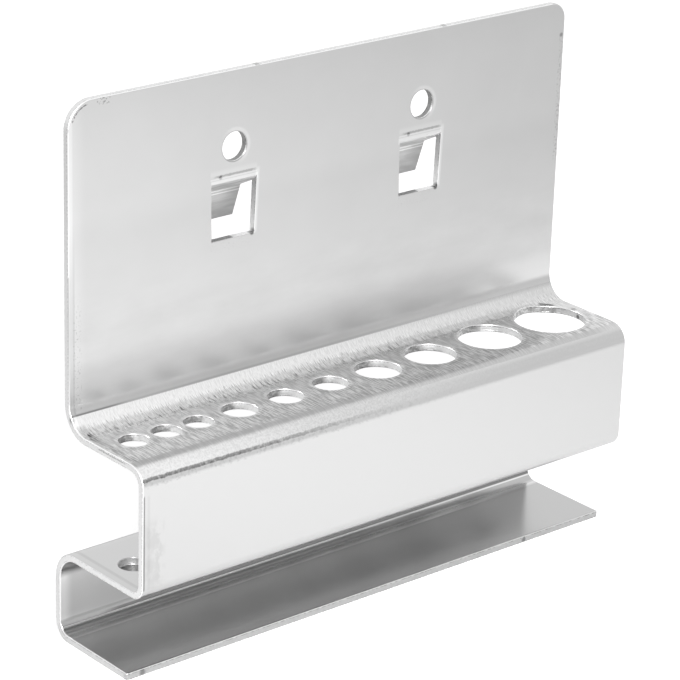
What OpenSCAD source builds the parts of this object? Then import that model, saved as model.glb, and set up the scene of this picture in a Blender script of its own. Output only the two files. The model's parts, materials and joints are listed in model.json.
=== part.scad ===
// Socket organizer for a perforated panel, folded from one length of sheet steel.
// The origin is midway between the two screw holes, on the back plate's rear face.
// X runs along the organizer, Y back towards the panel, Z up.

/* [Sheet] */
// Thickness of the sheet
sheet_t = 1.25; // [1:0.05:1.5]
// Length from end to end
sheet_l = 100; // [70:1:150]

/* [Side profile] */
// Height from the ledge's underside to the top of the back plate
overall_h = 87.8; // [80:0.1:120]
// Depth from the front face to the back plate's rear face
front_d = 20; // [18:0.1:26]
// Height of the shelf's top face above the ledge's underside
shelf_h = 36.4; // [30:0.1:42]
// Height of the guide web's underside above the ledge's underside
web_h = 14.5; // [10:0.1:18]
// Distance that the rear wall stands behind the back plate
wall_step = 2.7; // [0:0.1:5]
// Distance from the back plate's rear face forward to the ledge's front edge
ledge_d = 16.1; // [10:0.1:20]

/* [Bends] */
// Inner radius between the back plate and the shelf
root_r = 4; // [2:0.1:5]
// Inner radius between the shelf and the front face
nose_r = 2; // [1:0.1:3]
// Inner radius between the front face and the guide web
chin_r = 1.5; // [1:0.1:3]
// Inner radius between the guide web and the rear wall
shoulder_r = 4; // [2:0.1:5]
// Inner radius between the rear wall and the ledge
heel_r = 2; // [1:0.1:3]

/* [Back plate] */
// Radius of the plate's top left corner
left_corner_r = 4.5; // [1:0.1:10]
// Radius of the plate's top right corner
right_corner_r = 3; // [1:0.1:10]
// Diameter of the screw holes
screw_d = 4.7; // [3:0.1:6]
// Distance between the screw holes, and between the hooks below them
panel_pitch = 38; // [25:0.1:50]
// Distance from the plate's top edge down to the screw holes
screw_drop = 12.2; // [8:0.1:14]

/* [Hooks] */
// Distance from the screw holes down to the bend where the hooks leave the plate
hook_drop = 4.9; // [4:0.1:8]
// Height of the window that each hook's tab was cut from
window_h = 9.8; // [8:0.1:12]
// Width of the window, and of the tab bent out of it, at the bend
hook_w = 9; // [6:0.1:10]
// Width of the window, and of the tab, at the far end
hook_tip_w = 8.3; // [5:0.1:9]
// Length of the tab along the middle of the sheet, round its bends
tab_l = 10.6; // [9:0.1:12]
// Angle of the first bend, away from the plate
hook_out = 63; // [51:3:69]
// Angle that is left between the tab's end and the plate after the second bend
hook_lean = 17; // [5:4:29]
// Length of the flat between the hook's two bends
hook_reach = 3; // [1:0.1:3.5]
// Inner radius of both bends of the hook
hook_r = 0.5; // [0.3:0.1:1]

/* [Tool holes] */
// Distance from the front face back to the line of the holes
row_d = 10; // [9:0.1:11]
// Distance from the left end to the first hole
first_x = 5.7; // [4:0.1:8]
// Diameter of the three small holes
small_d = 4.8; // [3:0.1:5.2]
// Spacing of the three small holes
small_pitch = 6.1; // [5.8:0.1:8]
// Spacing from the last small hole to the first middle hole
middle_gap = 8; // [7:0.1:10]
// Diameter of the three middle holes
middle_d = 5.8; // [5:0.1:7]
// Spacing of the three middle holes
middle_pitch = 9.1; // [8:0.1:10]
// Spacing from the last middle hole to the seventh hole
seventh_gap = 9.9; // [9:0.1:12]
// Diameter of the seventh hole
seventh_d = 7.7; // [7:0.1:9]
// Spacing from the seventh hole to the eighth
eighth_gap = 11.1; // [10:0.1:13]
// Diameter of the eighth hole
eighth_d = 8.7; // [8:0.1:10]
// Spacing from the eighth hole to the ninth
ninth_gap = 13.1; // [12:0.1:15]
// Diameter of the ninth hole
ninth_d = 10.8; // [9:0.1:12]
// Spacing from the ninth hole to the tenth
tenth_gap = 13.6; // [13:0.1:16]
// Diameter of the tenth hole
tenth_d = 12.1; // [11:0.1:13]

/* [Hidden] */
$fn = 96;
zinc = [0.80, 0.81, 0.82];
cut = 1;

// Flat lengths between the bends, from the plate's top edge to the ledge's front edge.
plate_flat = overall_h - shelf_h - root_r;
shelf_flat = front_d - root_r - nose_r - 2 * sheet_t;
face_flat = shelf_h - web_h - nose_r - chin_r - 2 * sheet_t;
web_flat = front_d + wall_step - chin_r - shoulder_r - 2 * sheet_t;
wall_flat = web_h - shoulder_r - heel_r - sheet_t;
ledge_flat = ledge_d + wall_step - heel_r - sheet_t;

// Each fold is a flat length, the turn after it and that bend's inner radius; + turns left.
body_folds = [
    [plate_flat, -90, root_r],
    [shelf_flat, 90, nose_r],
    [face_flat, 90, chin_r],
    [web_flat, -90, shoulder_r],
    [wall_flat, -90, heel_r],
    [ledge_flat, 0, 0],
];

// What the tab's two bends and the flat between them leave of its length.
hook_mid_r = hook_r + sheet_t / 2;
hook_back = hook_out - hook_lean;
hook_end = tab_l - hook_reach - hook_mid_r * (hook_out + hook_back) * PI / 180;
hook_folds = [
    [cut, hook_out, hook_r],
    [hook_reach, -hook_back, hook_r],
    [hook_end, 0, 0],
];
hook_fall = hook_mid_r * (2 * sin(hook_out) - sin(hook_lean))
    + hook_reach * cos(hook_out) + hook_end * cos(hook_lean);

// Places measured from the left end, the plate's rear face and the ledge's underside.
screw_z = overall_h - screw_drop;
window_top = screw_z - hook_drop;
hook_x = [for (side = [-1, 1]) sheet_l / 2 + side * panel_pitch / 2];

hole_d = [small_d, small_d, small_d, middle_d, middle_d, middle_d,
          seventh_d, eighth_d, ninth_d, tenth_d];
hole_gap = [first_x, small_pitch, small_pitch, middle_gap, middle_pitch, middle_pitch,
            seventh_gap, eighth_gap, ninth_gap, tenth_gap];
function hole_x(i) = i < 0 ? 0 : hole_x(i - 1) + hole_gap[i];

// A wedge of a ring, on the outside of a bend, from the +X axis round to the angle.
module bend_sector(r, angle) {
    reach = r + sheet_t + cut;
    intersection() {
        difference() {
            circle(r + sheet_t);
            circle(r);
        }
        translate([-reach, 0])
            square([2 * reach, reach]);
        rotate(angle)
            translate([-reach, -reach])
                square([2 * reach, reach]);
    }
}

// The side view of a folded strip, which starts at the origin and sets off along +Y.
module folded_strip(folds, i = 0) {
    flat = folds[i][0];
    turn = folds[i][1];
    r = folds[i][2];
    mid_r = r + sheet_t / 2;
    side = sign(turn);
    if (flat > 0)
        translate([-sheet_t / 2, 0])
            square([sheet_t, flat]);
    if (turn != 0)
        translate([-side * mid_r, flat]) {
            mirror([side < 0 ? 1 : 0, 0])
                bend_sector(r, abs(turn));
            rotate(turn)
                translate([side * mid_r, 0])
                    folded_strip(folds, i + 1);
        }
}

// Stands a side view up, with its X along Y and its Y along Z, and draws it out along X.
module along_x(length) {
    rotate([90, 0, 90])
        linear_extrude(length)
            children();
}

// Stands a front view up and draws it out backwards from y to y + depth.
module through_y(y, depth) {
    translate([0, y + depth, 0])
        rotate([90, 0, 0])
            linear_extrude(depth)
                children();
}

// The waste outside a round corner, with the corner at the origin and the plate at +X.
module corner_waste(r) {
    difference() {
        translate([-cut, -r])
            square([r + cut, r + cut]);
        translate([r, -r])
            circle(r);
    }
}

// The outline of a hook's tab, hanging from the middle of its bend line.
module tab_outline(fall) {
    polygon([[-hook_w / 2, 0], [hook_w / 2, 0], [hook_tip_w / 2, -fall], [-hook_tip_w / 2, -fall]]);
}

// The bent tab, with a short stretch of the plate above its bend line.
module hook() {
    intersection() {
        translate([-hook_w / 2, 0, 0])
            along_x(hook_w)
                translate([-sheet_t / 2, cut])
                    rotate(180)
                        folded_strip(hook_folds);
        through_y(-sheet_t - cut, tab_l + 2 * cut) {
            tab_outline(hook_fall);
            translate([-hook_w / 2, 0])
                square([hook_w, cut]);
        }
    }
}

module plate_cuts() {
    through_y(-sheet_t - cut, sheet_t + 2 * cut) {
        for (x = hook_x) {
            translate([x, screw_z])
                circle(d = screw_d);
            translate([x, window_top])
                tab_outline(window_h);
        }
        translate([0, overall_h])
            corner_waste(left_corner_r);
        translate([sheet_l, overall_h])
            mirror([1, 0])
                corner_waste(right_corner_r);
    }
}

// Each hole goes down through the shelf and the guide web below it.
module tool_holes() {
    for (i = [0 : len(hole_d) - 1])
        if (hole_x(i) + hole_d[i] / 2 + sheet_t < sheet_l)
            translate([hole_x(i), row_d - front_d, web_h - cut])
                cylinder(h = shelf_h + root_r - web_h + cut, d = hole_d[i]);
}

module folded_sheet() {
    color(zinc)
        translate([-sheet_l / 2, 0, -screw_z]) {
            difference() {
                along_x(sheet_l)
                    translate([-sheet_t / 2, overall_h])
                        rotate(180)
                            folded_strip(body_folds);
                plate_cuts();
                tool_holes();
            }
            for (x = hook_x)
                translate([x, 0, window_top])
                    hook();
        }
}

folded_sheet();
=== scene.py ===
import json
import math

import bmesh
import bpy
from bpy.props import FloatProperty, FloatVectorProperty, IntProperty, PointerProperty
from mathutils import Matrix, Vector


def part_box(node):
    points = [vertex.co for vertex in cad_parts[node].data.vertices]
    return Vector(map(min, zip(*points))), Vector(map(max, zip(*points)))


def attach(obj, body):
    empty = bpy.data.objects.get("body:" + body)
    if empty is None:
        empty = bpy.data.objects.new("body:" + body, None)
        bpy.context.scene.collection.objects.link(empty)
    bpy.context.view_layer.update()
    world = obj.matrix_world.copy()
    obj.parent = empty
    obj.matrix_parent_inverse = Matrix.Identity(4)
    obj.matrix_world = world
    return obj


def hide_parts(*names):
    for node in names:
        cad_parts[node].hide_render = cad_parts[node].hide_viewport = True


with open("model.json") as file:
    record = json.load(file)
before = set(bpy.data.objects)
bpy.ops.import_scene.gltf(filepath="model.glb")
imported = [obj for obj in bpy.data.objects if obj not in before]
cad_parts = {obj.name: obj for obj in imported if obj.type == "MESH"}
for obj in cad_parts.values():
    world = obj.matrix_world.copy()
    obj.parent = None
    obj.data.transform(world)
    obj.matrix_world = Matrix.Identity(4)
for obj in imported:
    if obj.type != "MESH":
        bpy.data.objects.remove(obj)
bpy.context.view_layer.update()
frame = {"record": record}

bl_info = {
    "name": "Socket organizer",
    "version": (1, 0, 0),
    "blender": (4, 5, 0),
    "location": "View3D > Sidebar > Organizer",
    "description": "Folds a sheet-metal socket organizer for a perforated panel, and lights it",
    "category": "Add Mesh",
}

PLATE_LOW, PLATE_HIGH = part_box("folded_sheet")
MOUNTS = {mount["name"]: mount for mount in frame["record"]["mounts"]}
SCREWS = MOUNTS["screw_holes"]
TOOL_HOLES = [mount for name, mount in MOUNTS.items() if name.startswith("tool_hole")]
MM = 0.001
PART = "folded_sheet_zinc"

# In metres: how close two numbers are that count as the same, and two vertices that are merged.
SLACK = 1e-5
MERGE = 1e-6

# The plain metal, before any mark.
ZINC_TONE, ZINC_ROUGHNESS = 0.62, 0.28
CUT_TONE, CUT_ROUGHNESS = 0.97, 0.36

# The pattern on the cut edges: how far a bend's arc reaches to each side of its middle, as a
# cosine, and the distance in millimetres that puts a point out of an arc's reach.
HALF_BEND_FACING = math.cos(math.radians(46))
OUT_OF_REACH = 10.0

# In tool holes under this radius, in millimetres, the dark part of the wall is longer.
SMALL_HOLE_RADIUS = 2.5


def millimetres(value, about, low=0.0, high=200.0):
    """A length that is written in millimetres and kept in metres."""
    return FloatProperty(name=about, description=about, default=value * MM,
                         min=low * MM, max=high * MM, unit="LENGTH", precision=5)


def degrees(value, about, low=-180.0, high=180.0):
    """An angle that is written in degrees and kept in radians."""
    return FloatProperty(name=about, description=about, default=math.radians(value),
                         min=math.radians(low), max=math.radians(high), unit="ROTATION")


class SheetSizes(bpy.types.PropertyGroup):
    """The sheet itself, and how finely its rims, holes and bends are made"""

    thickness: millimetres(1.25, "Thickness of the sheet", 0.5, 3)
    left_corner: millimetres(4.5, "Radius of the back plate's top left corner", 0.5, 12)
    right_corner: millimetres(3.0, "Radius of the back plate's top right corner", 0.5, 12)
    outline_round: millimetres(0.26, "How far the sheet's outline is rounded", 0.05, 0.5)
    hole_round: millimetres(0.11, "How far the rims of the holes and windows are rounded", 0.02, 0.3)
    hole_sides: IntProperty(name="Sides of a round hole", description="Sides of a round hole",
                            default=72, min=24, max=160)
    bend_steps: IntProperty(name="Steps of a square bend", description="Steps of a square bend",
                            default=16, min=6, max=48)


class FoldSizes(bpy.types.PropertyGroup):
    """The side profile, from the back plate round to the ledge"""

    shelf_height: millimetres(36.4, "Height of the shelf's top above the ledge's underside")
    web_height: millimetres(14.5, "Height of the guide web's underside")
    front_depth: millimetres(20.0, "Depth from the front face to the back plate's rear face")
    wall_step: millimetres(2.7, "Distance of the rear wall behind the back plate")
    ledge_depth: millimetres(16.1, "Distance from the plate's rear face to the ledge's front edge")
    root_radius: millimetres(4.0, "Inner radius between the back plate and the shelf")
    nose_radius: millimetres(2.0, "Inner radius between the shelf and the front face")
    chin_radius: millimetres(1.5, "Inner radius between the front face and the guide web")
    shoulder_radius: millimetres(4.0, "Inner radius between the guide web and the rear wall")
    heel_radius: millimetres(2.0, "Inner radius between the rear wall and the ledge")


class HookSizes(bpy.types.PropertyGroup):
    """The two hooks, each the tab of its own window"""

    drop: millimetres(4.9, "Distance from the screw holes down to the hooks' bend")
    window_height: millimetres(9.8, "Height of the window that the tab was cut from")
    root_width: millimetres(9.0, "Width of the window and the tab at the bend")
    tip_width: millimetres(8.3, "Width of the window and the tab at the far end")
    length: millimetres(10.6, "Length of the tab along the middle of the sheet")
    reach: millimetres(3.0, "Flat between the hook's two bends")
    bend_radius: millimetres(0.5, "Inner radius of the hook's bends")
    out_angle: degrees(63.0, "Angle of the first bend, away from the plate")
    lean_angle: degrees(17.0, "Angle between the tab's end and the plate")


class StageSettings(bpy.types.PropertyGroup):
    """The camera and the floor"""

    lens: FloatProperty(name="Lens", description="Focal length on a 36 mm sensor",
                        default=160.67, min=20, max=400, unit="CAMERA")
    aim: FloatVectorProperty(name="Aim", description="Point that the camera looks at",
                             default=(-8.255 * MM, -7.757 * MM, -39.359 * MM), subtype="XYZ")
    distance: millimetres(478.65, "Distance from the camera to its aim", 100, 2000)
    azimuth: degrees(-40.078, "Turn of the camera to the left of straight on")
    elevation: degrees(22.337, "Height of the camera above level")
    roll: degrees(1.576, "Lean of the camera")
    shift_x: FloatProperty(name="Shift X", description="Crop of the photograph, sideways",
                           default=0.0445, min=-0.2, max=0.2)
    shift_y: FloatProperty(name="Shift Y", description="Crop of the photograph, upwards",
                           default=0.0629, min=-0.2, max=0.2)
    floor_size: millimetres(1600.0, "Width of the floor", 200, 4000)


class Value:
    """A number or vector that varies over a surface. Sums and products of it add nodes."""

    def __init__(self, shader, socket):
        self.shader = shader
        self.socket = socket

    def math(self, operation, *others):
        """What a Math node makes of this value and the others."""
        inputs = dict(enumerate((self,) + others))
        return self.shader.node("ShaderNodeMath", {"operation": operation}, inputs)

    def vector(self, operation, *others, output=0):
        """What a Vector Math node makes of this vector and the others."""
        inputs = dict(enumerate((self,) + others))
        return self.shader.node("ShaderNodeVectorMath", {"operation": operation}, inputs, output)

    def length(self):
        return self.vector("LENGTH", output="Value")

    def __add__(self, other):
        return self.math("ADD", other)

    def __sub__(self, other):
        return self.math("SUBTRACT", other)

    def __rsub__(self, other):
        return self.math("MULTIPLY_ADD", -1.0, other)

    def __mul__(self, other):
        return self.math("MULTIPLY", other)

    def __truediv__(self, other):
        return self.math("DIVIDE", other)

    __radd__ = __add__

    def rise(self, low, high):
        """0 below low and 1 above high, smooth between them. It falls where low is the larger."""
        ends = (0.0, 1.0) if low < high else (1.0, 0.0)
        return self.shader.node("ShaderNodeMapRange", {"interpolation_type": "SMOOTHSTEP"},
                                {"Value": self, "From Min": min(low, high),
                                 "From Max": max(low, high), "To Min": ends[0], "To Max": ends[1]})

    def band(self, low, high, soft):
        """1 between low and high, falling to 0 over the distance soft outside them."""
        return self.rise(low - soft, low) * self.rise(high + soft, high)


class Shader:
    """The nodes of one material, with places on the object in millimetres."""

    def __init__(self, name):
        self.material = bpy.data.materials.new(name)
        self.material.use_nodes = True
        self.tree = self.material.node_tree
        self.tree.nodes.clear()
        self.place = self.node("ShaderNodeTexCoord", output="Object").vector("DIVIDE", (MM, MM, MM))
        self.x, self.y, self.z = [self.node("ShaderNodeSeparateXYZ", inputs={0: self.place}, output=i)
                                  for i in range(3)]

    def node(self, kind, settings=None, inputs=None, output=0):
        """One of a new node's outputs, with its settings made and its inputs linked or filled."""
        made = self.tree.nodes.new(kind)
        for key, value in (settings or {}).items():
            setattr(made, key, value)
        for key, value in (inputs or {}).items():
            if isinstance(value, Value):
                self.tree.links.new(value.socket, made.inputs[key])
            else:
                made.inputs[key].default_value = value
        return Value(self, made.outputs[output])

    def join(self, x, y, z):
        return self.node("ShaderNodeCombineXYZ", inputs={0: x, 1: y, 2: z})

    def scaled(self, along, up=None):
        """The place, multiplied by along in X and Y and by up in Z, or by along in all three."""
        return self.place.vector("MULTIPLY", (along, along, up or along))

    def noise(self, place, detail, roughness):
        """Noise with patches about one unit across, mostly between 0.3 and 0.7."""
        return self.node("ShaderNodeTexNoise", {"noise_dimensions": "3D"},
                         {"Vector": place, "Scale": 1.0, "Detail": detail, "Roughness": roughness})

    def grey(self, level):
        return self.node("ShaderNodeCombineColor", inputs={0: level, 1: level, 2: level})

    def bump(self, height, distance, strength):
        return self.node("ShaderNodeBump", inputs={"Height": height, "Strength": strength,
                                                   "Distance": distance})

    def metal(self, tone, roughness, normal):
        """The material as grey metal."""
        surface = self.node("ShaderNodeBsdfPrincipled",
                            inputs={"Base Color": self.grey(tone), "Metallic": 1.0,
                                    "Roughness": roughness, "Normal": normal})
        return self.finish(surface)

    def finish(self, surface):
        """The material with this surface."""
        output = self.tree.nodes.new("ShaderNodeOutputMaterial")
        self.tree.links.new(surface.socket, output.inputs["Surface"])
        return self.material


def combine(operation, values):
    """Several values made into one, such as their sum or the smallest of them."""
    total, *others = values
    for value in others:
        total = total.math(operation, value)
    return total


class Places:
    """Where the faces, bends and openings of the folded sheet are, in millimetres."""

    def __init__(self, sheet, folds, hooks):
        self.thickness = sheet.thickness / MM
        self.left, self.front, self.low = PLATE_LOW / MM
        self.top = PLATE_HIGH.z / MM
        self.left_corner = sheet.left_corner / MM

        # The shelf's top, the web's underside, and the front faces of the plate and rear wall.
        self.shelf = self.low + folds.shelf_height / MM
        self.web = self.low + folds.web_height / MM
        self.plate = -self.thickness
        self.wall = folds.wall_step / MM - self.thickness

        # The inner radius of two bends, and the outer one of the nose.
        self.root_radius = folds.root_radius / MM
        self.nose_radius = folds.nose_radius / MM + self.thickness
        self.heel_radius = folds.heel_radius / MM

        # The middle of each bend that carries marks, in side view: its Y and its Z.
        self.root = (self.plate - self.root_radius, self.shelf + self.root_radius)
        self.nose = (self.front + self.nose_radius, self.shelf - self.nose_radius)
        self.heel = (self.wall - self.heel_radius, self.low + self.thickness + self.heel_radius)

        # The screw holes, and the hooks' windows below them.
        middle_x, _, self.screw_z = [value / MM for value in SCREWS["pos_m"]]
        self.half_pitch = SCREWS["dims"]["spacing_x_mm"] / 2
        self.screw_xs = [middle_x - self.half_pitch, middle_x + self.half_pitch]
        self.screw_radius = SCREWS["dims"]["hole_r_mm"]
        self.sill = self.screw_z - hooks.drop / MM
        self.foot = self.sill - hooks.window_height / MM
        self.half_window = hooks.root_width / 2 / MM
        self.window_slope = side_slope(hooks, hooks.window_height)


def side_slope(hooks, height):
    """How much a side of the window or tab leans inwards for each unit down."""
    return (hooks.root_width - hooks.tip_width) / 2 / height


def past_rim(shader):
    """How far a point is outside the rim of the nearest tool hole, in plan."""
    gaps = []
    for mount in TOOL_HOLES:
        centre_x, centre_y, _ = [value / MM for value in mount["pos_m"]]
        arm = shader.join(shader.x - centre_x, shader.y - centre_y, 0.0)
        gaps.append(arm.length() - mount["dims"]["r_mm"])
    return combine("MINIMUM", gaps)


def spot(shader, place, radius):
    """1 inside a small round mark at a place in millimetres, falling to 0 round it."""
    off = shader.place.vector("DISTANCE", tuple(place), output="Value")
    return off.rise(radius * 1.6, radius * 0.5)


def angle_between(out, along):
    """The angle in degrees from one arm of a bend or corner towards the other."""
    return along.math("ARCTAN2", out) * math.degrees(1)


def round_bend(shader, middle, low, high, soft, outside=False):
    """How far round a bend a point is, in degrees, and 1 between two distances from its middle.

    The angle starts level behind the middle and grows downwards. On the outside of the nose it
    starts level in front and grows upwards.
    """
    out, along = shader.y - middle[0], middle[1] - shader.z
    if outside:
        out, along = middle[0] - shader.y, shader.z - middle[1]
    distance = shader.join(0.0, out, along).length()
    return angle_between(out, along), distance.band(low, high, soft)


def root_marks(shader, places):
    """Where the root bend is rubbed and painted bright as a highlight, what its marks and painted
    shade add to the tone, and their relief.
    """
    x, y, z = shader.x, shader.y, shader.z
    radius = places.root_radius
    root_y, root_z = places.root
    turn, skin = round_bend(shader, places.root, radius - 0.5, radius + 0.35, 0.2)
    inside = skin * turn.rise(-2.0, 2.0)

    # The way round the bend and on along the shelf, on which the rubbed band with its painted
    # highlight has a ragged end.
    quarter = radius * math.pi / 2
    way = turn.math("MAXIMUM", 0.0).math("MINIMUM", 90.0) * math.radians(radius)
    way = way + (root_y - y).math("MAXIMUM", 0.0)
    hairs = shader.noise(shader.join(x * 4.4, way * 0.45, 0.0), 2.0, 0.6)
    ragged = way + (hairs - 0.5) * 9.5 - x.rise(-22.0, -44.0) * 0.5
    softer = x.rise(0.0, 45.0)
    start = turn.rise(27.0, 29.5) * (1.0 - softer) + turn.rise(20.0, 38.0) * softer
    rubbed_and_highlit = inside * start * ragged.rise(quarter + 0.05, quarter - 0.35)
    fading = 1.0 - x.rise(5.0, 40.0) * 0.75
    speckle = shader.noise(shader.join(x * 4.6, way * 0.9, 5.0), 2.0, 0.6).rise(0.32, 0.68) - 0.5
    speckle = rubbed_and_highlit * speckle * (0.35 + way.rise(3.4, 4.8) * 0.50) * (0.85 + fading * 0.15)
    # The rubbed band is painted brighter as a highlight, most at the left and towards the shelf.
    tone = rubbed_and_highlit * (0.145 - x * 0.0022 + (way - 3.0) * 0.02) + speckle * 0.30

    # Dark strokes at the lower end of the band, and over the band a strip of painted shade with a
    # hairline.
    on_shelf = z.band(places.shelf - 0.4, places.shelf + 0.3, 0.1)
    along = skin.math("MAXIMUM", on_shelf)
    strokes = way.band(quarter - 2.1, quarter + 0.5, 0.9) * along * hairs.rise(0.52, 0.64) * fading
    above = inside * turn.rise(0.0, 18.0) * (1.0 - start) * (1.0 - softer * 0.4)
    hairline = inside * turn.band(25.0, 27.0, 1.6)
    hairline = hairline * (x.rise(-38.5, -43.0) * 0.75 + x.rise(10.0, -30.0) * 0.14)
    tone = tone - strokes * 0.31 - above * (0.185 + x.rise(-40.0, -20.0) * 0.065)

    # The real left end bulges; that is painted here as a highlight, with a dark corner and a patch of
    # painted shade beside it.
    bulge_highlight = inside * x.rise(-48.8, -49.3) * turn.band(27.0, 80.0, 6.0)
    patch = x.band(-49.35, -48.5, 0.55) * y.rise(-8.0, -6.4) * along
    patch = patch * z.rise(root_z - radius * 0.72, root_z - radius * 0.84)
    corner = spot(shader, (places.left, root_y + radius * 0.84, root_z - radius * 0.55), 0.5)
    tone = tone - (hairline + corner * 1.5 + patch * 0.9 - bulge_highlight * 0.5) * 0.22
    return rubbed_and_highlit, tone, speckle * 0.4 - strokes * 0.5


def nose_marks(shader, places, grain):
    """Where the nose is rubbed and painted bright as a highlight, and what that and a dark line along
    it add to the tone.
    """
    x, outer = shader.x, places.nose_radius
    lift, skin = round_bend(shader, places.nose, outer - 0.3, outer + 0.3, 0.1, outside=True)
    sway = (shader.noise(shader.join(x * 0.9, 0.0, 9.0), 3.0, 0.6) - 0.5) * 13.0
    wide = x.rise(-25.0, 35.0)
    rubbed_and_highlit = skin * (lift + sway * 0.5).band(33.0, 60.0, 16.0) * (1.0 - wide * 0.7)
    speckle = (grain.rise(0.32, 0.68) - 0.5) * (0.13 - x.rise(-10.0, 16.0) * 0.05)
    # The rubbed band is painted brighter as a highlight, most at the left, with speckle.
    tone = rubbed_and_highlit * (0.05 + x.rise(-8.0, -46.0) * 0.14 + speckle)

    # A dark line along the nose is sharp and broken at the left, faint and wide at the right.
    broken = shader.noise(shader.join(x * 1.3, lift * 0.05, 2.0), 2.0, 0.6).rise(0.2, 0.55)
    sharp = (lift + sway).band(22.0, 28.5, 3.4) * x.rise(6.0, -40.0) * (0.25 + broken * 0.75)
    faint = lift.band(24.0, 40.0, 16.0) * wide
    patches = shader.noise(shader.join(x * 1.5, lift * 0.09, 4.0), 3.0, 0.6).rise(0.5, 0.62)
    smudge = (lift + sway * 1.5).band(6.0, 22.0, 7.0) * patches * (1.0 - wide)
    return rubbed_and_highlit, tone - skin * (sharp * 0.46 + faint * 0.09 + smudge * 0.09)


def plate_marks(shader, places, grain):
    """Light and dark marks on the front of the back plate, with painted light and shade, as what they
    add to its tone.
    """
    x, y, z = shader.x, shader.y, shader.z
    inset = x - places.left
    top, radius = places.top, places.left_corner
    torn = shader.noise(shader.scaled(2.4), 2.0, 0.6)

    # Soft clouds, which grow stronger towards the root bend, and painted light and shade in bands:
    # lighter at the top, darker lower down, and lighter again near the root bend.
    clouds = shader.noise(shader.scaled(0.07), 3.0, 0.6) - 0.5
    rolling = shader.noise(shader.join(x * 0.10, 0.0, z * 0.32), 3.0, 0.6) - 0.5
    added = clouds * 0.05 + rolling * z.rise(-12.0, -26.0) * 0.09 + z.rise(-8.0, 8.0) * 0.03
    added = added - z.band(-24.0, -10.0, 5.0) * 0.03 - z.band(-30.5, -26.0, 4.0) * 0.010
    added = added + z.rise(-30.0, -33.5) * 0.07

    # The left end is painted lighter, with a painted highlight along its rolled rim, a faint line
    # beside it, and specks low down.
    added = added + inset.rise(1.0, 0.6) * (0.10 - z.rise(-6.0, -22.0) * 0.14)
    added = added + inset.rise(3.4, 0.8) * 0.05
    added = added - inset.band(0.85, 1.05, 0.15) * z.rise(-4.0, -24.0) * 0.10
    specks = inset.band(1.0, 2.2, 0.3) * z.rise(-16.0, -24.0) * grain.rise(0.57, 0.64)
    added = added - specks * 0.18

    # The left corner is nicked along its round edge, and chipped beside that.
    out, up = radius - inset, z - (top - radius)
    nicked = shader.join(out, 0.0, up).length().band(radius - 0.62, radius - 0.5, 0.1)
    nicked = nicked * angle_between(out, up).band(24.0, 72.0, 6.0) * torn.rise(0.38, 0.5)
    chipped = inset.band(5.4, 7.4, 0.4) * z.band(top - 1.1, top - 0.2, 0.2) * torn.rise(0.54, 0.6)
    added = added - nicked * 0.42 - chipped * 0.3

    # The right end has one nick and a worn strip below it.
    nick = spot(shader, (places.left + 99.3, places.plate, top - 5.6), 0.32)
    worn = inset.rise(98.6, 99.4) * z.band(top - 26.0, top - 7.0, 2.0) * torn.rise(0.50, 0.62)
    added = added - nick * 0.3 - worn * 0.18

    for hole_x in places.screw_xs:
        added = added + window_marks(shader, places, hole_x, grain, torn)
    return y.band(-1.5, -1.0, 0.15) * z.rise(-37.5, -36.5) * added


def window_marks(shader, places, hole_x, grain, torn):
    """Marks, painted highlights and painted shade round one screw hole and the window below it, as
    what they add to the tone.
    """
    x, z = shader.x - hole_x, shader.z
    sill, foot = places.sill, places.foot
    up = z - places.screw_z

    # A painted highlight ring at the right of the screw hole, and painted shade on its rim.
    gap = shader.join(x, 0.0, up).length() - places.screw_radius
    ring = gap.band(0.25, 0.5, 0.4) * (x + up * 0.6).rise(-1.5, 1.8)
    rim = gap.rise(0.22, 0.08)

    # A light strip at the right of the window, and over it two painted highlights with a wavy line of
    # painted shade between them, where the sheet curves into the tab.
    edge = x - places.half_window + (sill - z) * places.window_slope
    beside = edge.band(0.0, 0.25, 0.4) * z.band(foot + 0.6, sill + 0.2, 0.9)
    across = x.band(-4.4, 4.3, 0.3)
    over = across * z.band(sill + 0.12, sill + 0.26, 0.12)
    halo = across * z.band(sill + 1.0, sill + 1.1, 0.7)
    wavy = z + (torn - 0.5) * 0.5
    curve_shade = x.band(-3.0, 3.4, 1.2) * wavy.band(sill + 0.46, sill + 0.66, 0.14)

    # A burr over the window, a dark lower right corner and a smear under its foot.
    burr = spot(shader, (hole_x - 2.6, places.plate, sill + 0.35), 0.28)
    corner = spot(shader, (hole_x + 3.7, places.plate, foot + 0.05), 0.36)
    smear = x.band(-4.0, 3.0, 0.8) * z.band(foot - 1.8, foot - 0.3, 0.4) * grain.rise(0.56, 0.7)
    light = ring * 0.09 + (beside + over) * 0.12 + halo * 0.05
    return light - (rim + curve_shade) * 0.22 - burr * 0.3 - corner * 0.45 - smear * 0.06


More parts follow.
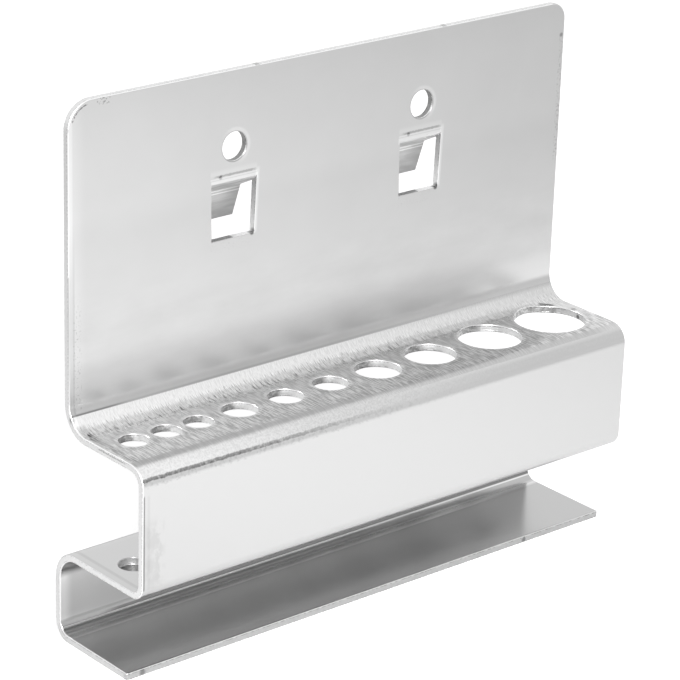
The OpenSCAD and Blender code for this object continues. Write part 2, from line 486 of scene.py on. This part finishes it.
def shelf_marks(shader, places):
    """What the marks and painted light and shade on the shelf add to the tone, and the relief of its
    streaks.
    """
    x, y, z = shader.x, shader.y, shader.z
    shelf, front = places.shelf, places.front
    inset, rim = x - places.left, past_rim(shader)

    # Scuffed from front to back, except for a smooth strip along the front.
    on_shelf = z.band(shelf - 0.5, shelf + 0.3, 0.1) * y.band(front - 0.1, -5.0, 0.3)
    reach = y + x.rise(-20.0, 5.0) * 0.9
    scuffed = on_shelf * reach.rise(front + 3.2, front + 3.7) * y.rise(-5.1, -5.6)
    fading = x.rise(-10.0, 16.0)
    behind = y.rise(-10.5, -8.5)
    streaks = shader.noise(shader.join(x * 4.2, y * 0.38, 3.0), 2.0, 0.6).rise(0.40, 0.62)
    patches = shader.noise(shader.join(x * 0.35, y * 0.35, 7.0), 2.0, 0.5).rise(0.3, 0.7)
    tone = (streaks - 0.36) * (0.42 - fading * 0.10) * (1.0 - behind * 0.5)
    tone = tone + x.rise(-14.0, -44.0) * 0.13 + (patches - 0.5) * 0.08 + behind * 0.03

    # Round each hole's rolled rim a painted light ring and a ring of painted shade, and a dark line
    # along the left end.
    tone = tone + rim.band(0.12, 0.42, 0.18) * 0.07 - rim.band(0.72, 0.95, 0.25) * 0.05
    tone = scuffed * (tone - inset.band(0.9, 1.4, 0.35) * 0.16)
    tone = tone + (on_shelf - scuffed) * (streaks - 0.4) * 0.09
    tone = tone + on_shelf * (x.rise(43.5, 48.5) * 0.11 - fading * 0.10)

    # Behind the right of the largest hole is painted shade where the rim rises, and at its right a
    # small dark spot.
    raised_rim_shade = on_shelf.math("MAXIMUM", z.band(shelf, shelf + 1.0, 0.3)) * y.band(-6.6, -3.6, 0.4)
    raised_rim_shade = raised_rim_shade * (x - y * 0.3).band(46.5, 48.3, 0.6) * rim.band(0.18, 0.8, 0.25)
    tone = tone - raised_rim_shade * 0.44 - spot(shader, (48.3, -9.0, shelf), 0.4) * 0.3
    return tone, scuffed * streaks * 0.5


def face_marks(shader, places):
    """What a smudge and two lines at the left end of the face add, and a line on the web."""
    y, z, web = shader.y, shader.z, places.web
    inset = shader.x - places.left
    on_face = y.rise(places.front + 0.1, places.front + 0.05)
    on_face = on_face * z.rise(places.shelf - 4.0, places.shelf - 4.6)
    worn = shader.noise(shader.scaled(0.8, 0.5), 3.0, 0.6).rise(0.3, 0.6)
    ragged = inset - (worn - 0.5) * 2.0
    smudge = ragged.band(0.3, 2.0, 1.6) * z.band(web + 4.0, web + 11.5, 3.0)
    lines = inset.band(0.95, 1.2, 0.25) * 0.04 + inset.band(0.14, 0.32, 0.1) * 0.34
    web_line = z.band(web + 1.0, web + 1.5, 0.1) * inset.band(1.2, 1.5, 0.35)
    return web_line * -0.08 - on_face * (smudge * (0.02 + worn * 0.055) + lines)


def channel_marks(shader, places):
    """What the channel under the guide web adds to the tone, mostly painted light and shade, and to
    the roughness.
    """
    x, y, z = shader.x, shader.y, shader.z
    radius, web = places.heel_radius, places.web
    heel_y, heel_z = places.heel

    # A painted highlight runs along the heel as a light line, on painted shade, with a painted shadow
    # over it except at the left end; the heel is painted light where it meets the ledge.
    turn, skin = round_bend(shader, places.heel, radius - 0.3, radius + 0.3, 0.1)
    line = 0.56 + x.rise(-36.0, -44.0) * 0.24 - x.rise(-25.0, 25.0) * 0.24
    heel = turn.band(37.0, 42.0, 2.5) * line - 0.10 - turn.rise(40.0, 34.0) * 0.09
    heel = heel + turn.rise(66.0, 84.0) * (0.46 - x.rise(28.0, 44.0) * 0.38)
    heel = heel - turn.band(23.0, 33.0, 3.0) * x.rise(-43.0, -38.0) * 0.20
    tone = skin * turn.rise(-4.0, 4.0) * heel

    # Painted shade in the channel: the rear wall darkens from its lighter open left end towards the
    # right, the web's underside is darker and rougher, and the ledge is darker but for a light strip
    # by the heel.
    wall = 0.12 - x.rise(-50.0, -15.0) * 0.14 - x.rise(-20.0, 36.0) * 0.15
    wall = wall + x.rise(-47.4, -49.6) * 0.28
    on_wall = y.band(places.wall - 0.3, places.wall + 0.3, 0.1) * z.band(heel_z, web - 3.0, 0.5)
    under_web = z.band(web - 0.4, web + 0.25, 0.1) * y.band(places.front + 2.0, 1.0, 0.5)
    ledge = z.band(places.low + 1.0, places.low + 1.5, 0.1) * y.rise(heel_y + 0.4, heel_y - 0.2)
    tone = tone + on_wall * wall - under_web * 0.26
    tone = tone + ledge * (y.rise(heel_y - 1.3, heel_y - 0.2) * 0.22 - 0.08)
    return tone, under_web * 0.15 - ledge * 0.07


def tab_marks(shader, places):
    """What the tabs behind the plate add to the tone and to the roughness."""
    x, y, z = shader.x, shader.y, shader.z
    on_tab = y.rise(0.1, 0.5) * z.band(-17.0, -5.0, 0.5)
    # Two light lines across each tab are painted highlights on its bend, and the tab's root is
    # lighter.
    bend_highlights = z.band(-8.30, -8.18, 0.08) + z.band(-8.80, -8.70, 0.08)
    streaks = shader.noise(shader.join(x * 0.2, y, z * 1.6), 3.0, 0.6).rise(0.3, 0.7) - 0.5
    beside = (x.math("ABSOLUTE") - places.half_pitch).band(-4.6, 4.4, 0.05)
    tab_root = beside * y.band(-1.3, 0.0, 0.1) * z.band(-5.9, -5.0, 0.1)
    tone = on_tab * (bend_highlights * 0.26 + streaks * 0.10 - 0.01) + tab_root * 0.14
    return tone, on_tab * 0.24


def zinc_face(places):
    """Bright zinc on rolled sheet, with the marks that the folding tools left on it, and painted
    highlights and shade.
    """
    shader = Shader("bright_zinc")
    grain = shader.noise(shader.scaled(3.2), 2.0, 0.6)
    root_rubbed_and_highlit, root_tone, root_relief = root_marks(shader, places)
    nose_rubbed_and_highlit, nose_tone = nose_marks(shader, places, grain)
    shelf_tone, shelf_relief = shelf_marks(shader, places)
    channel_tone, channel_roughness = channel_marks(shader, places)
    tab_tone, tab_roughness = tab_marks(shader, places)
    tone = ZINC_TONE + plate_marks(shader, places, grain) + face_marks(shader, places)
    tone = tone + root_tone + nose_tone + shelf_tone + channel_tone + tab_tone
    roughness = ZINC_ROUGHNESS - root_rubbed_and_highlit * 0.06 + nose_rubbed_and_highlit * 0.02
    roughness = roughness + channel_roughness + tab_roughness
    relief = shelf_relief + root_relief + nose_rubbed_and_highlit * grain
    return shader.metal(tone, roughness, shader.bump(relief, 0.02 * MM, 0.5))


def from_middle(shader, path):
    """How far a point is, in side view, from the line through the middle of the sheet."""
    flat = shader.join(0.0, shader.y, shader.z)
    gaps = []
    for start, end, centre, radius in path:
        if centre is None:
            run = end - start
            past = flat.vector("SUBTRACT", tuple(start))
            share = past.vector("DOT_PRODUCT", tuple(run), output="Value") / run.length_squared
            share = share.math("MAXIMUM", 0.0).math("MINIMUM", 1.0)
            foot = shader.node("ShaderNodeVectorMath", {"operation": "SCALE"},
                               {0: tuple(run), "Scale": share})
            gaps.append(past.vector("SUBTRACT", foot).length())
        else:
            # A bend's circle counts only on its own side, up to just past the bend's two ends.
            arm = flat.vector("SUBTRACT", tuple(centre))
            middle = ((start + end) / 2 - centre).normalized()
            facing = arm.vector("NORMALIZE").vector("DOT_PRODUCT", tuple(middle), output="Value")
            gap = (arm.length() - radius).math("ABSOLUTE")
            gaps.append(gap + facing.math("LESS_THAN", HALF_BEND_FACING) * OUT_OF_REACH)
    return combine("MINIMUM", gaps)


def tool_hole_shade(shader):
    """How much painted shade darkens the walls of the tool holes: mottled, from the left of each one
    on.
    """
    stretches = []
    for mount in TOOL_HOLES:
        centre_x, radius = mount["pos_m"][0] / MM, mount["dims"]["r_mm"]
        reach = radius * (0.65 if radius < SMALL_HOLE_RADIUS else 0.2)
        stretches.append((shader.x - centre_x).band(-radius, reach, 0.35 * radius))
    mottled = shader.noise(shader.scaled(1.4, 2.2), 2.0, 0.6).rise(0.3, 0.6)
    return combine("MAXIMUM", stretches) * (0.10 + mottled * 0.32)


def opening_shade(shader, places, hole_x):
    """How much painted shade darkens the walls of one screw hole and of the window below it, less
    along a painted glint in the screw hole.
    """
    x, z = shader.x - hole_x, shader.z
    sill, foot = places.sill, places.foot
    up = z - places.screw_z
    at_foot = z.band(foot - 0.3, foot + 0.1, 0.1) * x.band(-4.4, 0.0, 0.15)
    at_side = x.band(3.9, 4.7, 0.1) * z.rise(foot + 1.0, sill - 1.5)
    corner = spot(shader, (hole_x + 3.9, -0.9, foot), 0.55)
    glint = shader.y.band(-1.12, -1.0, 0.07) * up.rise(0.6, -0.8)
    in_hole = shader.join(x, 0.0, up).length().rise(2.9, 2.7) * (0.47 - glint * 0.62)
    return at_foot * 0.52 + at_side * 0.24 + corner * 0.6 + in_hole


def zinc_edge(path, places):
    """The sheared edge: bright rims and a torn, greyer middle, and the walls of the holes, with
    painted shade.
    """
    shader = Shader("cut_zinc")
    x, y, z = shader.x, shader.y, shader.z
    across = from_middle(shader, path)
    torn = shader.noise(shader.scaled(3.0), 3.0, 0.6)
    middle = (across + (torn - 0.5) * 0.3).rise(0.40, 0.28)
    line = (across + (torn - 0.5) * 0.12).band(0.38, 0.42, 0.06) * torn.rise(0.44, 0.54)
    tone = CUT_TONE - z.rise(-16.0, 0.0) * 0.06 - z.rise(-60.0, -66.0) * 0.10
    tone = tone - z.rise(-72.0, -75.0) * 0.08 - middle * (0.05 + torn * 0.18) - line * 0.45

    # The left end: a dark corner at the root bend, and a fine slit along the shelf.
    corner = spot(shader, (places.left, -1.9, -37.4), 0.5)
    slit = y.band(-15.0, -9.2, 0.9) * z.band(-39.72, -39.58, 0.08) * x.rise(-49.7, -49.9)
    tone = tone - corner * 0.4 - slit * (0.15 + torn.rise(0.4, 0.6) * 0.3)

    # The ledge's front edge is greyer, with a nick near its left end and one nearer the right.
    at_front = y.rise(-15.0, -15.6) * z.rise(-74.0, -74.6)
    nicks = spot(shader, (-47.0, -16.1, -75.0), 0.5) + spot(shader, (32.7, -16.1, -75.0), 0.4)
    tone = tone - at_front * (0.11 + x.rise(-40.0, 40.0) * 0.08 + nicks * 0.25)

    # Painted shade on the walls of the tool holes. The largest has a painted shadow, painted shade on
    # its right side and a dark nick.
    in_shelf = z.band(-41.0, -38.0, 0.3) * x.rise(-49.5, -49.2)
    shadow = (x - y * 0.3).band(46.5, 48.2, 0.8) * y.rise(-7.0, -6.4) * z.band(-40.3, -39.55, 0.15)
    shaded_right = x.rise(46.0, 46.7) * y.band(-12.0, -5.0, 1.0)
    tone = tone - in_shelf * (tool_hole_shade(shader) + shadow * 0.4 + shaded_right * 0.14)
    tone = tone - spot(shader, (47.83, -10.63, -40.0), 0.36) * 0.5

    # Painted shade on the walls of the screw holes and windows.
    on_plate = y.band(-1.3, 0.05, 0.1) * x.band(-40.0, 40.0, 1.0)
    openings = [opening_shade(shader, places, hole_x) for hole_x in places.screw_xs]
    tone = tone - on_plate * combine("ADD", openings)
    relief = middle * (torn - 1.0)
    return shader.metal(tone, CUT_ROUGHNESS + middle * 0.08, shader.bump(relief, 0.05 * MM, 0.6))


def deselect_all():
    if bpy.context.object and bpy.context.object.mode != "OBJECT":
        bpy.ops.object.mode_set(mode="OBJECT")
    bpy.ops.object.select_all(action="DESELECT")


def select_only(piece):
    deselect_all()
    piece.select_set(True)
    bpy.context.view_layer.objects.active = piece


def select_where(piece, kind, test):
    """In edit mode, selects the vertices, edges or faces whose vertices all pass the test."""
    bpy.ops.mesh.select_mode(type={"verts": "VERT", "edges": "EDGE", "faces": "FACE"}[kind])
    bpy.ops.mesh.select_all(action="DESELECT")
    mesh = bmesh.from_edit_mesh(piece.data)
    for item in getattr(mesh, kind):
        corners = [item.co] if kind == "verts" else [corner.co for corner in item.verts]
        if all(test(corner) for corner in corners):
            item.select_set(True)
    mesh.select_flush_mode()
    bmesh.update_edit_mesh(piece.data)


def keep_selected(piece, test):
    """Of the selected edges, keeps only those whose two ends pass the test."""
    mesh = bmesh.from_edit_mesh(piece.data)
    for edge in mesh.edges:
        if edge.select and not all(test(corner.co) for corner in edge.verts):
            edge.select_set(False)
    bmesh.update_edit_mesh(piece.data)


def on_outline(corner, ledge_front, sheet):
    """True on the sheet's outline: its two ends, its round corners and its last two edges."""
    at_end = min(corner.x - PLATE_LOW.x, PLATE_HIGH.x - corner.x) < SLACK
    reach = max(sheet.left_corner, sheet.right_corner)
    in_corner = (corner.z > PLATE_HIGH.z - reach - SLACK
                 and min(corner.x - PLATE_LOW.x, PLATE_HIGH.x - corner.x) < reach + SLACK)
    at_top = near(corner.z, PLATE_HIGH.z)
    at_ledge = near(corner.y, ledge_front) and corner.z < PLATE_LOW.z + 2 * sheet.thickness
    return at_end or in_corner or at_top or at_ledge


def near(value, target):
    """True where two lengths in metres count as the same."""
    return abs(value - target) < SLACK


def apply_modifier(kind, **settings):
    """Adds a modifier to the active piece and applies it."""
    piece = bpy.context.object
    bpy.ops.object.modifier_add(type=kind)
    modifier = piece.modifiers[-1]
    for key, value in settings.items():
        setattr(modifier, key, value)
    bpy.ops.object.modifier_apply(modifier=modifier.name)


class Fold:
    """Folds a sheet on from the selected edge, which lies along X, in side view."""

    def __init__(self, start, heading, thickness, steps):
        self.at = Vector(start)
        self.ahead = Vector(heading)
        self.half = thickness / 2
        self.steps = steps
        self.path = []

    def keep(self, start, centre=None, radius=None):
        """Notes the stretch just made, in millimetres, for the pattern on the cut edges."""
        centre = centre / MM if centre is not None else None
        self.path.append((start / MM, self.at / MM, centre, radius))

    def bend(self, turn, inner_radius):
        """Turns about +X by the angle, round a centre on the side that it turns to."""
        side = math.copysign(1.0, turn)
        quarter = Matrix.Rotation(math.pi / 2, 3, "X")
        reach = (inner_radius + self.half) * side
        centre = self.at + reach * (quarter @ self.ahead)
        steps = max(3, round(self.steps * abs(turn) / (math.pi / 2)))
        # The spin operator's positive angle is a left-handed turn.
        bpy.ops.mesh.spin(steps=steps, angle=-turn, center=centre, axis=(1, 0, 0))
        turned = Matrix.Rotation(turn, 3, "X")
        start = self.at.copy()
        self.at = centre + turned @ (self.at - centre)
        self.ahead = turned @ self.ahead
        self.keep(start, centre, abs(reach) / MM)

    def run(self, length):
        """Adds a flat stretch, straight on."""
        step = self.ahead * length
        bpy.ops.mesh.extrude_region_move(TRANSFORM_OT_translate={"value": step})
        start = self.at.copy()
        self.at = self.at + step
        self.keep(start)


def plate_blank(sheet, top, bottom):
    """The flat of the back plate, along the middle of the sheet, in edit mode."""
    deselect_all()
    bpy.ops.mesh.primitive_plane_add(size=1, rotation=(math.pi / 2, 0, 0))
    piece = bpy.context.object
    piece.name = piece.data.name = PART
    piece.scale = (PLATE_HIGH.x - PLATE_LOW.x, top - bottom, 1)
    piece.location = ((PLATE_LOW.x + PLATE_HIGH.x) / 2, -sheet.thickness / 2, (top + bottom) / 2)
    bpy.ops.object.transform_apply(location=True, rotation=True, scale=True)
    bpy.ops.object.mode_set(mode="EDIT")
    return piece


def cut_line(piece, point, normal, test, clear=False):
    """Cuts the faces that pass the test along a plane, and clears what is beyond it."""
    select_where(piece, "faces", test)
    bpy.ops.mesh.bisect(plane_co=point, plane_no=normal, clear_outer=clear, threshold=MERGE)


def slanted_sides(hooks, centre_x, top, height):
    """A point on each slanted side of a window or tab, and the side's outward normal."""
    for side in (-1, 1):
        point = Vector((centre_x + side * hooks.root_width / 2, 0, top))
        yield point, Vector((side, 0, -side_slope(hooks, height))).normalized()


def add_hook(piece, sheet, hooks, centre_x, top):
    """Cuts a window into the plate and bends its tab out of the window's top edge."""
    middle = -sheet.thickness / 2
    bottom = top - hooks.window_height
    half = hooks.root_width / 2 + SLACK

    def in_plate(corner):
        return near(corner.y, middle)

    def in_row(corner):
        return in_plate(corner) and bottom - SLACK < corner.z < top + SLACK

    def in_window(corner):
        return in_row(corner) and abs(corner.x - centre_x) < half

    def on_tab(corner):
        behind = corner.y > middle + MERGE or near(corner.z, top)
        return abs(corner.x - centre_x) < half and behind

    # The slanted cuts keep to the window's row, so that the root bend's faces stay whole.
    for level in (top, bottom):
        cut_line(piece, (0, 0, level), (0, 0, 1), in_plate)
    for point, normal in slanted_sides(hooks, centre_x, top, hooks.window_height):
        cut_line(piece, point, normal, in_row)
    select_where(piece, "faces", in_window)
    bpy.ops.mesh.delete(type="FACE")
    select_where(piece, "edges", lambda corner: in_window(corner) and near(corner.z, top))
    tab = Fold((0, middle, top), (0, 0, -1), sheet.thickness, sheet.bend_steps)
    back = hooks.out_angle - hooks.lean_angle
    bends = (hooks.bend_radius + sheet.thickness / 2) * (hooks.out_angle + back)
    tab.bend(hooks.out_angle, hooks.bend_radius)
    tab.run(hooks.reach)
    tab.bend(-back, hooks.bend_radius)
    tab.run(hooks.length - hooks.reach - bends)
    for point, normal in slanted_sides(hooks, centre_x, top, top - tab.at.z):
        cut_line(piece, point, normal, on_tab, clear=True)


def round_corner(piece, x, z, radius):
    """Rounds the corner of the sheet that is at x and z."""
    select_where(piece, "verts", lambda corner: near(corner.x, x) and near(corner.z, z))
    bpy.ops.mesh.bevel(offset=radius, segments=12, affect="VERTICES", clamp_overlap=False)


def drill(piece, cutters):
    """Cuts the round holes with one joined set of cylinders."""
    select_only(cutters[0])
    for cutter in cutters:
        cutter.select_set(True)
    bpy.ops.object.join()
    drills = bpy.context.object
    select_only(piece)
    apply_modifier("BOOLEAN", operation="DIFFERENCE", solver="EXACT", object=drills,
                   material_mode="TRANSFER")
    bpy.data.objects.remove(drills)


def hole_cutter(place, radius, length, axis, sides, material):
    """A cylinder along Y or Z, whose material the wall of its hole takes on."""
    deselect_all()
    turn = (math.pi / 2, 0, 0) if axis == "Y" else (0, 0, 0)
    bpy.ops.mesh.primitive_cylinder_add(vertices=sides, radius=radius, depth=length,
                                        location=place, rotation=turn)
    cutter = bpy.context.object
    bpy.ops.object.transform_apply(location=True, rotation=True, scale=True)
    cutter.data.materials.append(material)
    return cutter


def hole_cutters(sheet, material):
    """One cylinder for each screw hole, and one for each pair of holes in the shelf and web."""
    t = sheet.thickness
    cutters = []
    for place in screw_places():
        cutters.append(hole_cutter(place + Vector((0, -t / 2, 0)), SCREWS["dims"]["hole_r_mm"] * MM,
                                   4 * t, "Y", sheet.hole_sides, material))
    for mount in TOOL_HOLES:
        x, y, z = mount["pos_m"]
        depth = mount["dims"]["length_mm"] * MM
        cutters.append(hole_cutter((x, y, z - depth / 2 + t), mount["dims"]["r_mm"] * MM,
                                   depth + 6 * t, "Z", sheet.hole_sides, material))
    return cutters


def screw_places():
    """The middles of the two screw holes, on the plate's rear face."""
    half_pitch = SCREWS["dims"]["spacing_x_mm"] * MM / 2
    return [Vector(SCREWS["pos_m"]) + Vector((side * half_pitch, 0, 0)) for side in (-1, 1)]


def fold_profile(sheet, folds, root_top):
    """Folds the side profile on from the plate's lower edge, which is selected."""
    t, quarter = sheet.thickness, math.pi / 2
    fold = Fold((0, -t / 2, root_top), (0, 0, -1), t, sheet.bend_steps)
    fold.bend(-quarter, folds.root_radius)
    fold.run(folds.front_depth - folds.root_radius - folds.nose_radius - 2 * t)
    fold.bend(quarter, folds.nose_radius)
    fold.run(folds.shelf_height - folds.web_height - folds.nose_radius - folds.chin_radius - 2 * t)
    fold.bend(quarter, folds.chin_radius)
    fold.run(folds.front_depth + folds.wall_step - folds.chin_radius - folds.shoulder_radius - 2 * t)
    fold.bend(-quarter, folds.shoulder_radius)
    fold.run(folds.web_height - folds.shoulder_radius - folds.heel_radius - t)
    fold.bend(-quarter, folds.heel_radius)
    fold.run(folds.ledge_depth + folds.wall_step - folds.heel_radius - t)
    return fold


def soften_edges(sheet, ledge_front):
    """Rounds the sharp edges: the sheet's outline more, the rims of its openings less."""
    bpy.ops.object.mode_set(mode="EDIT")

    # The cylinders' cut leaves vertices that almost meet, which would spoil the rounding.
    bpy.ops.mesh.select_all(action="SELECT")
    bpy.ops.mesh.remove_doubles(threshold=2 * SLACK)

    # Every sharp edge gets the small share of the rounding, and the outline's the rest as well.
    bpy.ops.mesh.select_mode(type="EDGE")
    bpy.ops.mesh.select_all(action="DESELECT")
    bpy.ops.mesh.edges_select_sharp(sharpness=math.radians(40))
    share = sheet.hole_round / sheet.outline_round
    bpy.ops.transform.edge_bevelweight(value=share)
    keep_selected(bpy.context.object, lambda corner: on_outline(corner, ledge_front, sheet))
    bpy.ops.transform.edge_bevelweight(value=1 - share)
    bpy.ops.object.mode_set(mode="OBJECT")
    apply_modifier("BEVEL", width=sheet.outline_round, segments=3, limit_method="WEIGHT",
                   use_clamp_overlap=False)
    bpy.ops.object.shade_smooth_by_angle(angle=math.radians(35))
    apply_modifier("WEIGHTED_NORMAL", keep_sharp=True)


class ORGANIZER_OT_folded_sheet(bpy.types.Operator):
    """Fold the zinc-plated sheet, with its windows, hooks and holes"""

    bl_idname = "organizer.folded_sheet"
    bl_label = "Folded sheet"

    def execute(self, context):
        scene = context.scene
        sheet, folds, hooks = scene.organizer_sheet, scene.organizer_folds, scene.organizer_hooks
        t = sheet.thickness
        root_top = PLATE_LOW.z + folds.shelf_height + folds.root_radius
        piece = plate_blank(sheet, PLATE_HIGH.z, root_top)
        select_where(piece, "edges", lambda corner: near(corner.z, root_top))
        fold = fold_profile(sheet, folds, root_top)
        round_corner(piece, PLATE_LOW.x, PLATE_HIGH.z, sheet.left_corner)
        round_corner(piece, PLATE_HIGH.x, PLATE_HIGH.z, sheet.right_corner)
        for place in screw_places():
            add_hook(piece, sheet, hooks, place.x, place.z - hooks.drop)
        bpy.ops.mesh.select_all(action="SELECT")
        bpy.ops.mesh.remove_doubles(threshold=MERGE)
        bpy.ops.mesh.normals_make_consistent(inside=False)
        bpy.ops.object.mode_set(mode="OBJECT")

        places = Places(sheet, folds, hooks)
        top, bottom = Vector((0, -t / 2, PLATE_HIGH.z)), Vector((0, -t / 2, root_top))
        path = [(top / MM, bottom / MM, None, None), *fold.path]
        face, edge = zinc_face(places), zinc_edge(path, places)
        piece.data.materials.append(face)
        piece.data.materials.append(edge)
        apply_modifier("SOLIDIFY", thickness=t, offset=0, use_even_offset=True,
                       use_quality_normals=True, material_offset_rim=1)
        drill(piece, hole_cutters(sheet, edge))
        soften_edges(sheet, fold.at.y)
        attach(piece, "root")
        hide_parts("folded_sheet")
        return {"FINISHED"}


def floor_material():
    """A pale floor that the camera sees as white, with the object's soft shadow on it."""
    shader = Shader("pale_floor")
    paint = shader.node("ShaderNodeBsdfDiffuse", inputs={"Color": (0.82, 0.82, 0.82, 1)})
    glow = shader.node("ShaderNodeEmission", inputs={"Strength": 0.42})
    both = shader.node("ShaderNodeAddShader", inputs={0: paint, 1: glow})
    seen = shader.node("ShaderNodeLightPath", output="Is Camera Ray")
    return shader.finish(shader.node("ShaderNodeMixShader", inputs={0: seen, 1: paint, 2: both}))


def white_world(context):
    """White for the camera and in reflections, a little softer for what it lights."""
    world = bpy.data.worlds.new("studio")
    context.scene.world = world
    world.use_nodes = True
    nodes, links = world.node_tree.nodes, world.node_tree.links
    nodes.clear()
    path = nodes.new("ShaderNodeLightPath")
    level = path.outputs["Is Camera Ray"]
    for name in ("Is Glossy Ray", "Is Transmission Ray"):
        either = nodes.new("ShaderNodeMath")
        either.operation = "MAXIMUM"
        links.new(level, either.inputs[0])
        links.new(path.outputs[name], either.inputs[1])
        level = either.outputs[0]
    mix = nodes.new("ShaderNodeMixShader")
    links.new(level, mix.inputs[0])
    for slot, strength in ((1, 0.76), (2, 1.0)):
        sky = nodes.new("ShaderNodeBackground")
        sky.inputs["Color"].default_value = (1, 1, 1, 1)
        sky.inputs["Strength"].default_value = strength
        links.new(sky.outputs[0], mix.inputs[slot])
    output = nodes.new("ShaderNodeOutputWorld")
    links.new(mix.outputs[0], output.inputs[0])


def add_lamp(name, place, aim, width, spread, power):
    """A square area lamp at a place, turned to its aim."""
    bpy.ops.object.light_add(type="AREA", location=place)
    lamp = bpy.context.object
    lamp.name = name
    lamp.data.shape = "SQUARE"
    lamp.data.size = width
    lamp.data.energy = power
    lamp.data.spread = spread
    lamp.rotation_euler = (Vector(aim) - Vector(place)).to_track_quat("-Z", "Y").to_euler()


class ORGANIZER_OT_stage(bpy.types.Operator):
    """Set the floor, the white surroundings, the lamp and the camera"""

    bl_idname = "organizer.stage"
    bl_label = "Stage"

    def execute(self, context):
        stage = context.scene.organizer_stage
        deselect_all()
        bpy.ops.mesh.primitive_plane_add(size=stage.floor_size, location=(0, 0, PLATE_LOW.z))
        floor = context.object
        floor.name = "floor"
        floor.data.materials.append(floor_material())
        white_world(context)
        add_lamp("key_lamp", place=Vector((-287, -450, 220)) * MM, aim=Vector((76, -43, -75)) * MM,
                 width=150 * MM, spread=math.radians(59.5), power=0.63)
        turn = (Matrix.Rotation(stage.azimuth, 4, "Z")
                @ Matrix.Rotation(math.pi / 2 - stage.elevation, 4, "X")
                @ Matrix.Rotation(stage.roll, 4, "Z"))
        place = Vector(stage.aim) + (turn @ Vector((0, 0, stage.distance)))
        bpy.ops.object.camera_add(location=place, rotation=turn.to_euler())
        camera = context.object
        camera.data.lens = stage.lens
        camera.data.sensor_width = 36
        camera.data.shift_x, camera.data.shift_y = stage.shift_x, stage.shift_y
        camera.data.clip_start, camera.data.clip_end = 0.01, 10
        context.scene.camera = camera
        context.scene.view_settings.view_transform = "Standard"
        return {"FINISHED"}


class ORGANIZER_PT_panel(bpy.types.Panel):
    """The operators and sizes of the organizer"""

    bl_idname = "ORGANIZER_PT_panel"
    bl_label = "Socket organizer"
    bl_space_type = "VIEW_3D"
    bl_region_type = "UI"
    bl_category = "Organizer"

    def draw(self, context):
        for operator in (ORGANIZER_OT_folded_sheet, ORGANIZER_OT_stage):
            self.layout.operator(operator.bl_idname)
        for name in GROUPS:
            settings = getattr(context.scene, name)
            column = self.layout.column(align=True)
            for key in settings.__annotations__:
                column.prop(settings, key)


GROUPS = {"organizer_sheet": SheetSizes, "organizer_folds": FoldSizes,
          "organizer_hooks": HookSizes, "organizer_stage": StageSettings}
CLASSES = (*GROUPS.values(), ORGANIZER_OT_folded_sheet, ORGANIZER_OT_stage, ORGANIZER_PT_panel)


def register():
    for kind in CLASSES:
        bpy.utils.register_class(kind)
    for name, kind in GROUPS.items():
        setattr(bpy.types.Scene, name, PointerProperty(type=kind))


def unregister():
    for name in GROUPS:
        delattr(bpy.types.Scene, name)
    for kind in reversed(CLASSES):
        bpy.utils.unregister_class(kind)


def main():
    register()
    bpy.ops.organizer.folded_sheet()
    bpy.ops.organizer.stage()


if __name__ == "__main__":
    main()
